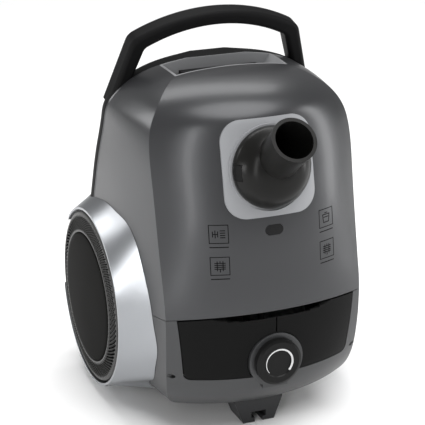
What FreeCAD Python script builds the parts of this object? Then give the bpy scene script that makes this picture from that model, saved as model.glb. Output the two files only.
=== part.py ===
import FreeCAD, Part
import math
import os
import Sketcher

# Bagged canister vacuum cleaner, parked upright on its rear end.
# Frame: +Z up as parked, the lid faces -Y, +X to the right, origin on the floor under the middle.

doc = FreeCAD.newDocument("canister_cleaner")
V = FreeCAD.Vector

# ---------------------------------------------------------------- driving dimensions (mm, degrees)
SIZES = [
    # outer body
    ("half_width", 128), ("crease_half", 110), ("front_y", -115.4), ("body_top", 376.5),
    ("seam_height", 147), ("floor_height", 24), ("wall_thick", 2.6), ("part_gap", 0.6),
    ("split_lean", 15), ("split_y", 59.3), ("split_height", 331.6), ("band_depth", 26),
    ("base_end", 58), ("seam_tilt", 9.8),
    # carry handle
    ("handle_rise", 95.7), ("handle_bar", 15), ("handle_round", 5),
    # rear wheels and fenders
    ("wheel_radius", 95), ("wheel_width", 30), ("wheel_y", 69.7), ("wheel_height", 111.6),
    ("wheel_stand", 16), ("wheel_clear", 1.7), ("rim_thick", 2.5), ("hub_radius", 71),
    ("axle_radius", 6), ("run_clear", 0.05), ("ground_gap", 9),
    # hose inlet and elbow
    ("inlet_height", 295.5), ("inlet_tilt", 81), ("bezel_size", 99), ("bezel_proud", 1.6),
    ("seat_radius", 44), ("dome_radius", 42), ("neck_radius", 22), ("bore_radius", 19.5),
    ("neck_length", 70), ("neck_tilt", 30), ("spigot_radius", 21), ("collar_radius", 24),
    # pedals and knob
    ("pedal_half", 100), ("pedal_bottom", 75), ("pedal_gap", 0.8), ("pedal_thick", 3),
    ("rod_radius", 2.5), ("rod_y", -84), ("rod_height", 78), ("rod_half", 97),
    ("knob_radius", 25), ("knob_height", 92.2), ("knob_face", -123.3), ("ring_radius", 30),
    ("ring_face", -116.6), ("shaft_radius", 3),
    # lid hinge, window and latch
    ("hinge_y", -106), ("hinge_height", 150.5), ("hinge_relief", 10.4), ("hinge_pin", 2),
    ("window_height", 232.7), ("window_length", 20), ("window_width", 11),
    ("recess_half", 62), ("recess_floor", 350), ("latch_half", 44),
    # parking bracket and feet
    ("bracket_y", -57), ("bracket_depth", 34), ("bracket_foot", 36), ("bracket_top", 55),
    ("slot_mouth", 9), ("slot_wide", 17), ("foot_x", 70), ("foot_y", 105), ("foot_radius", 9),
    # motor
    ("motor_x", -38), ("motor_y", 20), ("fan_radius", 55), ("can_radius", 44), ("sheet_thick", 1.5),
    ("can_bottom", 34), ("fan_bottom", 78), ("fan_top", 112), ("rotor_radius", 4),
    # cord reel
    ("reel_y", 30), ("reel_height", 76), ("reel_radius", 42), ("reel_left", 34), ("reel_right", 84),
    ("reel_core", 16), ("reel_axle", 5), ("roller_radius", 7),
    # caster
    ("caster_height", 300), ("caster_radius", 14), ("caster_width", 14), ("caster_trail", 9),
    ("cup_radius", 27), ("caster_axle", 2),
    # bag bay
    ("bag_half", 86), ("port_half", 34), ("holder_half", 64),
    # fastenings
    ("post_x", 60), ("post_y", 118), ("post_radius", 6), ("screw_radius", 2),
]

sheet = doc.addObject("Spreadsheet::Sheet", "dims")
for row, (alias, value) in enumerate(SIZES, start=1):
    sheet.set("A%d" % row, alias)
    sheet.set("B%d" % row, str(value))
    sheet.setAlias("B%d" % row, alias)
doc.recompute()


class Dim:
    """A length or angle that knows its spreadsheet expression and its present value."""

    def __init__(self, text, value):
        self.text = text
        self.value = value

    def __float__(self):
        return float(self.value)

    def join(self, sign, other, value):
        return Dim("(%s %s %s)" % (self.text, sign, other.text), value)

    def __add__(self, other):
        other = lift(other)
        return self.join("+", other, self.value + other.value)

    def __sub__(self, other):
        other = lift(other)
        return self.join("-", other, self.value - other.value)

    def __mul__(self, other):
        other = lift(other)
        return self.join("*", other, self.value * other.value)

    def __truediv__(self, other):
        other = lift(other)
        return self.join("/", other, self.value / other.value)

    def __radd__(self, other):
        return lift(other) + self

    def __rsub__(self, other):
        return lift(other) - self

    def __rmul__(self, other):
        return lift(other) * self

    def __neg__(self):
        return lift(0) - self


def lift(x):
    return x if isinstance(x, Dim) else Dim(repr(float(x)), float(x))


class Dims:
    """Reads the sheet: d.wheel_radius is the cell wheel_radius."""

    def __getattr__(self, alias):
        return Dim("dims.%s" % alias, float(sheet.get(alias)))


d = Dims()
PARTS = []


def bind(obj, prop, x):
    """Sets a property and, when it comes from the sheet, ties it to the sheet."""
    x = lift(x)
    setattr(obj, prop, x.value)
    if "dims." in x.text:
        obj.setExpression(prop, x.text)


def place(obj, x=0, y=0, z=0, axis=(0, 0, 1), turn=0):
    """Puts an object at x, y, z, turned by an angle about an axis."""
    spot = [lift(c) for c in (x, y, z)]
    turn = FreeCAD.Rotation(V(*axis), float(lift(turn)))
    obj.Placement = FreeCAD.Placement(V(*[c.value for c in spot]), turn)
    for name, c in zip("xyz", spot):
        if "dims." in c.text:
            obj.setExpression("Placement.Base." + name, c.text)
    return obj


def part(obj, label):
    """Registers a finished sub-part under its node name."""
    obj.Label = label
    PARTS.append(obj)
    return obj


# ---------------------------------------------------------------- sketch and body helpers
def plane_of(body, role):
    return [o for o in body.Origin.OriginFeatures if o.Role == role][0]


def sketch(body, role, loops, offset=0):
    """A sketch on an origin plane; a loop is a list of corners or a ("circle", x, y, r)."""
    sk = body.newObject("Sketcher::SketchObject", body.Name + "_sketch")
    sk.AttachmentSupport = (plane_of(body, role), [""])
    sk.MapMode = "FlatFace"
    offset = lift(offset)
    if offset.value:
        sk.AttachmentOffset = FreeCAD.Placement(V(0, 0, offset.value), FreeCAD.Rotation())
        if "dims." in offset.text:
            sk.setExpression("AttachmentOffset.Base.z", offset.text)
    for loop in loops:
        if loop[0] == "circle":
            add_circle(sk, *loop[1:])
        else:
            add_polygon(sk, loop)
    return sk


def fix_point(sk, geo, pos, x, y):
    """Holds one sketch point at x, y with dimensions tied to the sheet."""
    for kind, c, axis_id in (("DistanceX", lift(x), -2), ("DistanceY", lift(y), -1)):
        if c.text == "0.0":
            sk.addConstraint(Sketcher.Constraint("PointOnObject", geo, pos, axis_id))
            continue
        index = sk.addConstraint(Sketcher.Constraint(kind, -1, 1, geo, pos, c.value))
        if "dims." in c.text:
            sk.setExpression("Constraints[%d]" % index, c.text)


def add_polygon(sk, corners):
    first = sk.GeometryCount
    n = len(corners)
    xy = [(float(lift(x)), float(lift(y))) for x, y in corners]
    for i in range(n):
        a, b = xy[i], xy[(i + 1) % n]
        sk.addGeometry(Part.LineSegment(V(a[0], a[1], 0), V(b[0], b[1], 0)), False)
    for i in range(n):
        ahead = first + (i + 1) % n
        sk.addConstraint(Sketcher.Constraint("Coincident", first + i, 2, ahead, 1))
    for i, (x, y) in enumerate(corners):
        fix_point(sk, first + i, 1, x, y)


def add_circle(sk, x, y, r):
    r = lift(r)
    centre = V(float(lift(x)), float(lift(y)), 0)
    geo = sk.addGeometry(Part.Circle(centre, V(0, 0, 1), r.value), False)
    index = sk.addConstraint(Sketcher.Constraint("Radius", geo, r.value))
    if "dims." in r.text:
        sk.setExpression("Constraints[%d]" % index, r.text)
    fix_point(sk, geo, 3, x, y)


def new_body(name):
    return doc.addObject("PartDesign::Body", name)


def turned(label, profile, x=0, y=0, z=0, axis=(0, 0, 1), turn=0):
    """A turned piece: the (radius, height) profile goes once round the local Z axis."""
    body = new_body(label + "_body")
    sk = sketch(body, "XZ_Plane", [profile])
    rev = body.newObject("PartDesign::Revolution", label + "_turn")
    rev.Profile = sk
    rev.ReferenceAxis = (sk, ["V_Axis"])
    rev.Angle = 360
    body.Tip = rev
    place(body, x, y, z, axis, turn)
    return part(body, label)


def padded(label, loops, length, role="XY_Plane", offset=0):
    """A piece of even thickness: the loops are pushed along the plane's normal."""
    body = new_body(label + "_body")
    sk = sketch(body, role, loops, offset)
    pad = body.newObject("PartDesign::Pad", label + "_pad")
    pad.Profile = sk
    bind(pad, "Length", length)
    body.Tip = pad
    return body


def pocket(body, loops, length, role="XY_Plane", offset=0, reverse=False):
    """Cuts loops out of a body; the volume has to fall."""
    doc.recompute()
    before = body.Shape.Volume
    sk = sketch(body, role, loops, offset)
    cut = body.newObject("PartDesign::Pocket", body.Name + "_pocket")
    cut.Profile = sk
    bind(cut, "Length", length)
    cut.Reversed = reverse
    body.Tip = cut
    doc.recompute()
    if body.Shape.Volume > before - 0.5:
        raise RuntimeError("pocket in %s cuts nothing" % body.Name)
    return body


def rect(x0, x1, y0, y1):
    return [(x0, y0), (x1, y0), (x1, y1), (x0, y1)]


# ---------------------------------------------------------------- primitive helpers
def box(x0, x1, y0, y1, z0, z1):
    obj = doc.addObject("Part::Box", "block")
    bind(obj, "Length", lift(x1) - x0)
    bind(obj, "Width", lift(y1) - y0)
    bind(obj, "Height", lift(z1) - z0)
    return place(obj, x0, y0, z0)


AXES = {"x": ((0, 1, 0), 90), "y": ((1, 0, 0), -90), "z": ((0, 0, 1), 0)}


def rod(r, length, x=0, y=0, z=0, along="z"):
    """A cylinder that starts at x, y, z and runs along a main axis."""
    obj = doc.addObject("Part::Cylinder", "rod")
    bind(obj, "Radius", r)
    bind(obj, "Height", length)
    axis, turn = AXES[along]
    return place(obj, x, y, z, axis, turn)


def fuse(*shapes):
    obj = doc.addObject("Part::MultiFuse", "joined")
    obj.Shapes = list(shapes)
    return obj


def cut(base, *tools):
    for tool in tools:
        obj = doc.addObject("Part::Cut", "trimmed")
        obj.Base = base
        obj.Tool = tool
        base = obj
    return base


def common(a, b):
    obj = doc.addObject("Part::Common", "shared")
    obj.Base = a
    obj.Tool = b
    return obj


def group(*shapes):
    obj = doc.addObject("Part::Compound", "pieces")
    obj.Links = list(shapes)
    return obj


def solid(name, shape):
    obj = doc.addObject("Part::Feature", name)
    obj.Shape = shape
    return obj


# ---------------------------------------------------------------- outer form of the body
SLOPE = math.tan(math.radians(float(d.split_lean)))


def split_y(z):
    """Y of the leaning parting plane at height z."""
    return float(d.split_y) - SLOPE * (z - float(d.split_height))


def stations():
    """Rows of height, front centre y, crease x, crease y, side half-width and back y."""
    top = float(d.body_top)
    seam = float(d.seam_height)
    low = float(d.floor_height)
    front = float(d.front_y)
    crease = float(d.crease_half)
    side = float(d.half_width)
    rise = (top - 45.5 - seam) / 184.0
    low_rows = [
        (low, 53, -50, 70, -36, -33), (low + 6, 36, -25, 60, -20, -21),
        (low + 18, 18, -10, 49, -11, -9), (low + 36, 6, -4, 39, -6, -3),
        (low + 66, 0.6, -1, 32, -2, 0), (seam, 0, 0, 30, 0, 0),
        (seam + 43 * rise, 3.9, 0.5, 39, -0.5, 0), (seam + 86 * rise, 8.2, 1, 49, -2, 0),
        (seam + 128 * rise, 15.9, 1.5, 58, -4, 0), (seam + 168 * rise, 24.8, 1, 68, -7.5, 0),
        (top - 45.5, 28.4, -2, 73, -9.5, 0), (top - 31.5, 34.4, -9, 79, -18, 0),
        (top - 20.5, 45.4, -19, 89, -30, 0), (top - 12.5, 61.4, -31, 103, -43, 0),
        (top - 6.5, 81.4, -46, 117, -59, 0), (top - 2.5, 105.4, -64, 133, -78, 0),
        (top, 125.4, -80, 143, -95, 0),
    ]
    rows = []
    for z, df, dc, dy, ds, db in low_rows:
        back = split_y(z) + float(d.band_depth) + db
        rows.append((z, front + df, crease + dc, front + dy, side + ds, back))
    return rows


ROWS = stations()


def front_at(z):
    """Y of the front centre line at height z."""
    for a, b in zip(ROWS, ROWS[1:]):
        if a[0] <= z <= b[0]:
            return a[1] + (b[1] - a[1]) * (z - a[0]) / (b[0] - a[0])
    raise ValueError("height outside the body")


def envelope(inset):
    """The closed body form, moved in by inset (out when negative)."""
    low, top = ROWS[0][0], ROWS[-1][0]
    squeeze = (top - low - 2 * inset) / (top - low)
    wires = []
    for z, yf, xc, yc, xs, yb in ROWS:
        zi = low + inset + (z - low) * squeeze
        front = V(0, yf + inset, zi)
        xc, yc, xs, yb = xc - inset, yc + 0.6 * inset, xs - inset, yb - inset
        ys = min(split_y(z) - 3, yb - 27)
        corner = min(16, xs * 0.4)
        right = [V(xc, yc, zi), V((xc + xs) / 2 + 2.5, (yc + ys) / 2, zi), V(xs, ys, zi),
                 V(xs - corner * 0.22, (ys + yb) / 2 + 6, zi), V(xs - corner, yb, zi)]
        left = [V(-p.x, p.y, p.z) for p in right]
        edges = [
            Part.Arc(left[0], front, right[0]).toShape(),
            Part.Arc(right[0], right[1], right[2]).toShape(),
            Part.Arc(right[2], right[3], right[4]).toShape(),
            Part.LineSegment(right[4], left[4]).toShape(),
            Part.Arc(left[4], left[3], left[2]).toShape(),
            Part.Arc(left[2], left[1], left[0]).toShape(),
        ]
        wires.append(Part.Wire(edges))
    return Part.makeLoft(wires, True, False)


def half_space(point, normal, reach=700):
    """A large block on the side of a plane that its normal points to."""
    block = Part.makeBox(2 * reach, 2 * reach, reach, V(-reach, -reach, 0))
    block.Placement = FreeCAD.Placement(V(*point), FreeCAD.Rotation(V(0, 0, 1), V(*normal)))
    return block


LEAN = math.radians(float(d.split_lean))
SPLIT_N = V(0, math.cos(LEAN), math.sin(LEAN))
SPLIT_U = V(0, -math.sin(LEAN), math.cos(LEAN))
SPLIT_P = V(0, float(d.split_y), float(d.split_height))
TILT = math.radians(float(d.seam_tilt))
SEAM_N = V(0, math.sin(TILT), math.cos(TILT))
SEAM_P = V(0, float(d.front_y), float(d.seam_height))


def behind_split(s):
    """Everything more than s behind the leaning parting plane."""
    return half_space(SPLIT_P + SPLIT_N * s, SPLIT_N)


def above_seam(t):
    """Everything more than t above the lid seam."""
    return half_space(SEAM_P + SEAM_N * t, SEAM_N)


def seam_z(y):
    """Height of the lid seam plane at y."""
    return SEAM_P.z - math.tan(TILT) * (y - SEAM_P.y)


OUTER = envelope(0)
INNER = envelope(float(d.wall_thick))
SHELL = OUTER.cut(INNER)
gap = float(d.part_gap)

WHEEL_FACE = float(d.half_width) + float(d.wheel_stand)
WELL_RADIUS = float(d.wheel_radius) + float(d.wheel_clear)
RIM_RADIUS = WELL_RADIUS + float(d.rim_thick)
WELL_FLOOR = WHEEL_FACE - float(d.wheel_width) - 2.0
LINER = 2.5


def wheel_well(side, radius, x_in, x_out):
    """A cylinder on a wheel's axis from x_in to x_out, on one side."""
    start = V(side * x_in, float(d.wheel_y), float(d.wheel_height))
    return Part.makeCylinder(radius, x_out - x_in, start, V(side, 0, 0))


WELLS = [wheel_well(side, RIM_RADIUS, WELL_FLOOR - LINER, 400) for side in (-1, 1)]

# How far a fender's edge on the body stands outside its rim, by angle round the wheel axis from
# straight up towards the front.
FENDER_EDGE = [(0, 18), (18, 25), (35, 33), (47, 27), (60, 24.8), (75, 25), (92, 28.4),
               (105, 22.5), (123, 11.5), (150, 4), (180, 2), (225, 0), (270, 0), (315, 5),
               (330, 11), (345, 16), (360, 18)]


def edge_radius(angle, spread=1.0):
    """Smooth reading of the FENDER_EDGE table."""
    for (a, ra), (b, rb) in zip(FENDER_EDGE, FENDER_EDGE[1:]):
        if a <= angle <= b:
            t = (angle - a) / (b - a)
            t = t * t * (3 - 2 * t)
            return RIM_RADIUS + spread * (ra + (rb - ra) * t)
    raise ValueError("angle outside the table")


def body_spread(angle):
    """How far down the fender's flare the body's side lies, by the same angle."""
    return 0.66 + 0.5 * min(angle, 60) / 60 if angle < 180 else 0.66


def round_the_wheel(x, spread, shrink):
    """A closed curve round the right wheel's axis at x; spread is a share or a function."""
    points = []
    for k in range(36):
        a = math.radians(10 * k)
        share = spread(10 * k) if callable(spread) else spread
        r = edge_radius(10 * k, share) - shrink
        points.append(V(x, float(d.wheel_y) - r * math.sin(a),
                        float(d.wheel_height) + r * math.cos(a)))
    curve = Part.BSplineCurve()
    curve.interpolate(Points=points, PeriodicFlag=True)
    return Part.Wire([curve.toShape()])


def mirrored(shape):
    return shape.mirror(V(0, 0, 0), V(1, 0, 0))


def arch_zone(grow):
    """The body's side inside the fender edges, on both sides."""
    zone = Part.Face(round_the_wheel(50, body_spread, 3 - grow)).extrude(V(300, 0, 0))
    return [zone, mirrored(zone)]


def block(x0, x1, y0, y1, z0, z1):
    return Part.makeBox(x1 - x0, y1 - y0, z1 - z0, V(x0, y0, z0))


def both_sides(x0, x1, y0, y1, z0, z1):
    return [block(x0, x1, y0, y1, z0, z1), block(-x1, -x0, y0, y1, z0, z1)]


# The frame of the hose inlet: local Z leaves the lid, local Y runs up it.
INLET = FreeCAD.Placement(
    V(0, front_at(float(d.inlet_height)), float(d.inlet_height)),
    FreeCAD.Rotation(V(1, 0, 0), float(d.inlet_tilt)))


def at_inlet(shape):
    shape.Placement = INLET.multiply(shape.Placement)
    return shape


def disc(radius, z0, z1, x=0, y=0):
    return Part.makeCylinder(radius, z1 - z0, V(x, y, z0))


def rounded_square(size, z0, z1, corner):
    """A square block with rounded upright edges, centred on local Z."""
    raw = Part.makeBox(size, size, z1 - z0, V(-size / 2, -size / 2, z0))
    edges = [e for e in raw.Edges if abs(e.Vertexes[0].Z - e.Vertexes[-1].Z) > 1]
    return raw.makeFillet(corner, edges)


def along_x(radius, x0, x1, y, z):
    return Part.makeCylinder(radius, x1 - x0, V(x0, y, z), V(1, 0, 0))


def along_y(radius, y0, y1, x, z):
    return Part.makeCylinder(radius, y1 - y0, V(x, y0, z), V(0, 1, 0))


# ---------------------------------------------------------------- base shell: black back tray
hinge_axis = (float(d.hinge_y), float(d.hinge_height))


def hinge_room(ahead):
    """Room below the lid's front edge as it turns: narrower where the front curves back."""
    bands = [(24, 0), (40, 0.3), (52, 1.4), (66, 2.8), (84, 5.0)]
    y, z = hinge_axis
    room = [along_x(float(d.hinge_relief) - less, -x, x, y - back, z - 0.4 * back)
            for x, less in bands for back in (0, ahead)]
    return room[0].fuse(room[1:])


relief = hinge_room(0)
base_low = block(-400, 400, -400, 400, -50, float(d.base_end))
deck_top = 3.6
deck_low = 0.6
post_r = float(d.post_radius)
inner_floor = float(d.floor_height) + float(d.wall_thick)
shell_back = SHELL.common(behind_split(0)).cut(base_low).cut(WELLS)
posts = []
for side in (-1, 1):
    x = side * float(d.post_x)
    y = float(d.post_y)
    post = Part.makeCylinder(post_r, 200, V(x, y, inner_floor)).cut(above_seam(deck_low))
    arm = block(x - 4, x + 4, y, y + 60, float(d.base_end) + 4, float(d.base_end) + 20)
    arm = arm.common(INNER)
    post = post.fuse(arm)
    drill = Part.makeCylinder(float(d.screw_radius), 13, V(x, y, inner_floor))
    post = post.cut(drill)
    top_drill = Part.makeCylinder(float(d.screw_radius), 40, V(x, y, seam_z(y) - 14))
    posts.append(post.cut(top_drill))


def on_back(height):
    """Frame on the back plane at a height: local Z points away from the back."""
    y = split_y(height) + float(d.band_depth)
    turn = FreeCAD.Rotation(V(1, 0, 0), -90 + float(d.split_lean))
    return FreeCAD.Placement(V(0, y, height), turn)


CASTER = on_back(float(d.caster_height))
EXHAUST = on_back(84)


def put(frame, shape):
    shape.Placement = frame.multiply(shape.Placement)
    return shape


cup_hole = put(CASTER, disc(float(d.cup_radius), -20, 20))
grille_hole = put(EXHAUST, block(-46, 46, -18, 18, -8, 8))
base = shell_back.cut([cup_hole, grille_hole]).fuse(posts)
part(solid("base_shell_form", base), "base_shell")

# ---------------------------------------------------------------- lower housing: grey front frame
knob_z = float(d.knob_height)
ring_r = float(d.ring_radius)
ring_face = float(d.ring_face)
pedal_low = float(d.pedal_bottom)
pedal_x = float(d.pedal_half)
pgap = float(d.pedal_gap)


def pedal_field(grow):
    """The pedals' field seen from the front: sides lean in towards rounded lower corners."""
    low_x, low_z, side_x = pedal_x - 8 + grow, pedal_low - grow, pedal_x + grow
    right = [(low_x, low_z), (side_x, 150), (side_x, 400)]
    outline = right + [(-x, z) for x, z in reversed(right)]
    points = [V(x, -300, z) for x, z in outline]
    field = Part.Face(Part.makePolygon(points + points[:1])).extrude(V(0, 240, 0))
    corners = [e for e in field.Edges if e.BoundBox.YLength > 200 and e.BoundBox.ZMax < low_z + 1]
    return field.makeFillet(8, corners)


opening = pedal_field(pgap)
zones = arch_zone(0)
sides = SHELL.common(zones[0].fuse(zones[1])).common(above_seam(-gap / 2))
low_shell = SHELL.cut(above_seam(-gap / 2))
low_front = low_shell.cut(behind_split(0))
low_back = low_shell.common(behind_split(0)).common(base_low)
low_shell = low_front.fuse([low_back, sides.cut(behind_split(0))])
low_shell = low_shell.cut(opening).cut(WELLS)
ring = along_y(ring_r, ring_face, ring_face + 12.6, 0, knob_z)
neck = block(-14, 14, ring_face + 2, ring_face + 12.6, pedal_low - 14, pedal_low - pgap)
rod_y, rod_z = float(d.rod_y), float(d.rod_height)
lug_top = rod_z + 5
lugs = both_sides(93, 96.5, rod_y - 8, rod_y + 5, 34, lug_top)
lugs.append(block(-3, 3, rod_y - 8, rod_y + 5, inner_floor - 1, lug_top))
lugs.append(block(-110, -70, -70, -45, 105, 108))
lugs.append(block(-106, -101, -76, -45, 60, 108))
pedal_zone = OUTER.cut(envelope(float(d.pedal_thick) + 1.2)).common(opening)
lugs = [lug.common(INNER).cut(pedal_zone) for lug in lugs]
lower = low_shell.fuse([ring, neck] + lugs)
rod_hole = along_x(float(d.rod_radius), -rod_z - 60, rod_z + 60, rod_y, rod_z)
knob_hole = along_y(float(d.shaft_radius) + 1.2, ring_face - 5, ring_face + 30, 0, knob_z)
floor_holes = [Part.makeCylinder(float(d.screw_radius), 40, V(s * float(d.post_x),
               float(d.post_y), 0)) for s in (-1, 1)]
floor_holes.append(Part.makeCylinder(8, 40, V(64, -38, 0)))
floor_holes += [Part.makeCylinder(4, 40, V(s * float(d.foot_x), float(d.foot_y), 0))
                for s in (-1, 1)]
lower = lower.cut([rod_hole, knob_hole, relief] + floor_holes)
part(solid("lower_housing_form", lower), "lower_housing")

# ---------------------------------------------------------------- lid: deep front cover
recess_half = float(d.recess_half)
recess_floor = float(d.recess_floor)
recess_front = float(d.split_y) - 54


def recess_block(grow, z0, z1):
    """The finger recess: a trough with sloping ends, grown by an amount all round."""
    half_top = recess_half + 22 + grow
    half_low = recess_half - 18 + grow
    y0, y1 = recess_front - grow, split_y(recess_floor) - 9 + grow
    corners = [V(-half_low, y0, z0 - grow), V(half_low, y0, z0 - grow),
               V(half_top, y0, z1), V(-half_top, y0, z1)]
    face = Part.Face(Part.makePolygon(corners + corners[:1]))
    return face.extrude(V(0, y1 - y0, 0))


recess_hole = recess_block(2.0, recess_floor, 400)
window_half = float(d.window_length) / 2 - float(d.window_width) / 2


def window_shape(grow, y0, y1):
    r = float(d.window_width) / 2 + grow
    z = float(d.window_height)
    ends = [along_y(r, y0, y1, s * window_half, z) for s in (-1, 1)]
    middle = block(-window_half, window_half, y0, y1, z - r, z + r)
    return middle.fuse(ends)


knuckles = []
for side in (-1, 1):
    for x0, x1 in ((18, 23), (33, 38)):
        xa, xb = sorted((side * x0, side * x1))
        barrel = along_x(4.5, xa, xb, *hinge_axis)
        strap = block(xa, xb, hinge_axis[0] - 9, hinge_axis[0] + 5,
                      hinge_axis[1], hinge_axis[1] + 12).common(INNER)
        knuckles.append(barrel.fuse(strap))
pins_hole = along_x(float(d.hinge_pin), -39.5, 39.5, *hinge_axis)
lid = SHELL.common(above_seam(gap / 2)).cut(behind_split(-gap))
lid = lid.cut([at_inlet(disc(float(d.seat_radius), -30, 30)), recess_hole,
               window_shape(0, -200, -60)])
lid = lid.cut(arch_zone(gap)).fuse(knuckles).cut(pins_hole)
part(solid("lid_form", lid), "lid")

# finger recess: a separate trough set into the lid
trough = recess_block(2.0, recess_floor, 400).common(OUTER)
trough = trough.cut([recess_block(0, recess_floor, 400), behind_split(-gap)])
latch_half = float(d.latch_half)
pivot_y, pivot_z = recess_front + 36, recess_floor + 6
trough = trough.cut(along_x(1.6, -latch_half - 7, latch_half + 7, pivot_y, pivot_z))
part(solid("latch_recess_form", trough), "latch_recess")

# latch lever: a bar across the back of the trough that turns about its lower edge
lever = block(-latch_half, latch_half, pivot_y - 3, pivot_y + 1.5, pivot_z - 3, pivot_z + 9)
lever = lever.fuse(along_x(3, -latch_half, latch_half, pivot_y, pivot_z))
lever = lever.fuse(along_x(1.55, -latch_half - 6.5, latch_half + 6.5, pivot_y, pivot_z))
lip = block(-latch_half, latch_half, pivot_y - 8, pivot_y - 3, pivot_z + 6.5, pivot_z + 9)
part(solid("lid_latch_form", lever.fuse(lip)), "lid_latch")

spring_y = pivot_y + 3.1
latch_spring = box(-12, 12, spring_y, spring_y + 0.6, recess_floor + 0.4, recess_floor + 9)
part(latch_spring, "latch_spring")

# seal: a soft strip just inside the lid's rim
seal = envelope(float(d.wall_thick)).cut(envelope(float(d.wall_thick) + 3.5))
seal = seal.common(half_space(SPLIT_P - SPLIT_N * 1.2, SPLIT_N * -1))
seal = seal.cut(half_space(SPLIT_P - SPLIT_N * 6, SPLIT_N * -1)).common(above_seam(5))
seal = seal.cut([recess_block(2.6, recess_floor, 400)] + arch_zone(3))
part(solid("lid_seal_form", seal), "lid_seal")

pins = []
for side in (-1, 1):
    pin = rod(d.hinge_pin, 23, side * 28 - 11.5, d.hinge_y, d.hinge_height, "x")
    pins.append(pin)
part(group(*pins), "lid_hinge_pins")

# ---------------------------------------------------------------- bag deck: floor of the bag bay
deck = envelope(float(d.wall_thick) + 1).common(above_seam(deck_low)).cut(above_seam(deck_top))
deck = deck.cut(block(-400, 400, -400, float(d.hinge_y) + 12, -50, 600))
deck = deck.cut(WELLS + [wheel_well(s, 15, WELL_FLOOR - 9, 400) for s in (-1, 1)])
mx, my = float(d.motor_x), float(d.motor_y)
port = float(d.port_half)
bars = [block(mx - port, mx + port, my - port + 8 + 12 * i, my - port + 11 + 12 * i, 60, 200)
        for i in range(5)]
window = block(mx - port, mx + port, my - port, my + port, 60, 200).cut(bars)
deck = deck.cut(window)
hinge_lugs = []
for side in (-1, 1):
    xa, xb = sorted((side * 24, side * 32))
    barrel = along_x(3.8, xa, xb, *hinge_axis)
    web = block(xa, xb, hinge_axis[0], hinge_axis[0] + 14, hinge_axis[1] - 2.4,
                hinge_axis[1] + 2.6)
    riser = block(xa, xb, hinge_axis[0] + 10.8, hinge_axis[0] + 14, hinge_axis[1] - 6,
                  hinge_axis[1] + 2.6)
    hinge_lugs.append(barrel.fuse([web, riser]))
deck = deck.fuse(hinge_lugs)
pin_run = along_x(float(d.hinge_pin) + float(d.run_clear), -40, 40, *hinge_axis)
deck_holes = [Part.makeCylinder(float(d.screw_radius), 200, V(s * float(d.post_x),
              float(d.post_y), 60)) for s in (-1, 1)]
deck = deck.cut([pin_run] + deck_holes)
part(solid("bag_deck_form", deck), "bag_deck")

# motor filter: a foam pad over the port
pad_low, pad_high = deck_top, deck_top + 9
foam = block(mx - port - 6, mx + port + 6, my - port - 6, my + port + 6, 60, 250)
foam = foam.common(above_seam(pad_low)).cut(above_seam(pad_high))
part(solid("motor_filter_form", foam), "motor_filter")

# ---------------------------------------------------------------- bag and bag holder
hold = float(d.holder_half)
holder = at_inlet(block(-hold, hold, -170, 44, -27, -24))
holder = holder.cut(at_inlet(block(-hold + 9, hold - 9, -170, -44, -28, -23)))
holder = holder.cut(at_inlet(disc(float(d.collar_radius), -40, 0)))
holder = holder.common(above_seam(deck_top))
part(solid("bag_holder_form", holder), "bag_holder")

bag_half = float(d.bag_half)
bay_front = front_at(float(d.inlet_height)) + 42
bag_wires = []
low_z = seam_z(-40) + 16
for z, shrink in ((low_z, 8), (low_z + 14, 0), (float(d.body_top) - 62, 2),
                  (float(d.body_top) - 42, 16)):
    yb = split_y(z) + float(d.band_depth) - float(d.wall_thick) - 22 - shrink
    ya = bay_front + shrink
    xh = bag_half - shrink
    bag_wires.append(Part.makePolygon([V(-xh, ya, z), V(xh, ya, z), V(xh, yb, z), V(-xh, yb, z),
                                       V(-xh, ya, z)]))
bag = Part.makeLoft(bag_wires, True, True)
long_edges = [e for e in bag.Edges if e.BoundBox.ZLength > 12]
bag = bag.makeFillet(7, long_edges)
bag = bag.fuse(at_inlet(disc(float(d.collar_radius) + 8, -60, -27.4)).cut(bag))
part(solid("dust_bag_form", bag.removeSplitter()), "dust_bag")

# ---------------------------------------------------------------- carry handle
def plane_point(x, v, s=0):
    """A point on the parting plane, v up along it, s behind it."""
    return SPLIT_P + V(x, 0, 0) + SPLIT_U * v + SPLIT_N * s


def hoop(grow):
    """Outline of the handle, moved in by grow from its outer edge, legs first."""
    leg = float(d.half_width) - 9 - grow
    rise = float(d.handle_rise) - grow
    shoulder = rise - 25 + grow * 0.3
    knee = leg - 24
    p = [plane_point(-leg - 6, -30), plane_point(-knee, shoulder), plane_point(0, rise),
         plane_point(knee, shoulder), plane_point(leg + 6, -30)]
    edges = [Part.LineSegment(p[0], p[1]), Part.Arc(p[1], p[2], p[3]),
             Part.LineSegment(p[3], p[4])]
    return p, [e.toShape() for e in edges]


def lies_along(edge, direction):
    """True when an edge runs along a direction."""
    chord = edge.Vertexes[-1].Point - edge.Vertexes[0].Point
    return chord.Length > 1 and abs(chord.normalize().dot(direction)) > 0.99


outer_p, outer_e = hoop(0)
inner_p, inner_e = hoop(float(d.handle_bar))
ends = [Part.LineSegment(outer_p[0], inner_p[0]).toShape(),
        Part.LineSegment(outer_p[-1], inner_p[-1]).toShape()]
loop = Part.Wire(Part.__sortEdges__(outer_e + inner_e + ends))
handle = Part.Face(loop).extrude(SPLIT_N * (float(d.band_depth) - 4))
for points, radius in ((outer_p, 16), (inner_p, 9)):
    for corner in (points[1], points[3]):
        near = [e for e in handle.Edges if lies_along(e, SPLIT_N)
                and e.distToShape(Part.Vertex(corner))[0] < 0.1]
        handle = handle.makeFillet(radius, near)
long_edges = [e for e in handle.Edges if not lies_along(e, SPLIT_N)
              and e.CenterOfMass.z > float(d.split_height) - 26]
handle = handle.makeFillet(float(d.handle_round), long_edges)
handle = handle.cut(OUTER).cut(half_space(plane_point(0, -2), SPLIT_U * -1))
part(solid("carry_handle_form", handle), "carry_handle")

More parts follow.
